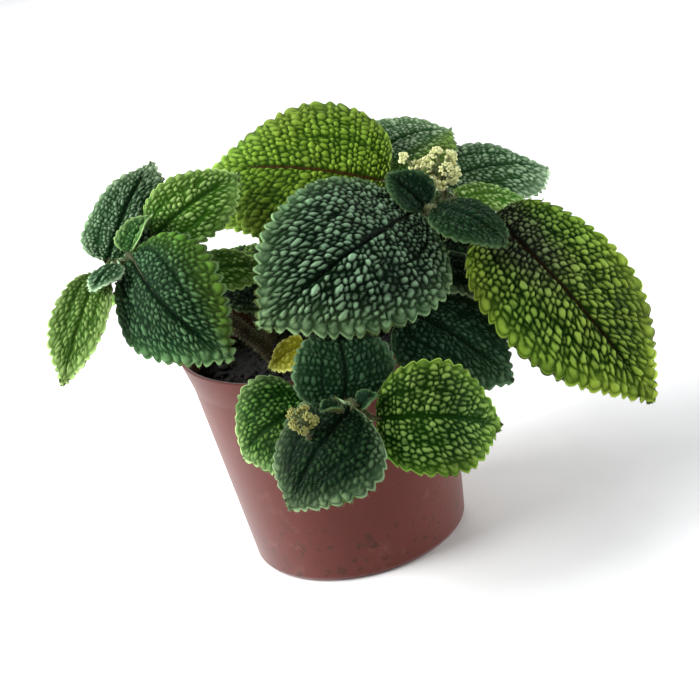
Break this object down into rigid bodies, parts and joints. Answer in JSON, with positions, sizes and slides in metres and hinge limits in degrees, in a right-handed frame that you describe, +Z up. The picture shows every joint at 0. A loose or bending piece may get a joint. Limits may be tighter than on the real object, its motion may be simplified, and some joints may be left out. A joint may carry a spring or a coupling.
{
  "type": "potted friendship plant",
  "caption": "Small houseplant with quilted, toothed oval leaves in opposite pairs on short fleshy stems, in a round tapered plastic nursery pot filled with soil.",
  "frame": {"origin": "centre of the flat underside of the pot", "axes": "+Z up along the pot's axis; +X to the right and +Y to the back, with the low rosette of leaves that hangs over the rim at the front"},
  "size_m": [0.1774, 0.1593, 0.1291],
  "materials": {
    "pot_plastic": "satin",
    "soil": "matte",
    "leaf_deep_green": "satin",
    "leaf_blue_green": "satin",
    "leaf_fresh_green": "satin",
    "flower_cream": "matte",
    "flower_yellow_green": "matte"
  },
  "bodies": {
    "root": {"pot": "pot_plastic", "soil": "soil", "leafy_stem_right": "leaf_deep_green", "leafy_stem_back_right": "leaf_deep_green", "leafy_stem_low": "leaf_deep_green", "leafy_stem_left": "leaf_blue_green", "leafy_stem_back_left": "leaf_blue_green", "leafy_stem_front": "leaf_fresh_green", "leafy_stem_back": "leaf_fresh_green", "flower_head_right": "flower_cream", "flower_head_front": "flower_yellow_green"}
  },
  "joints": []
}
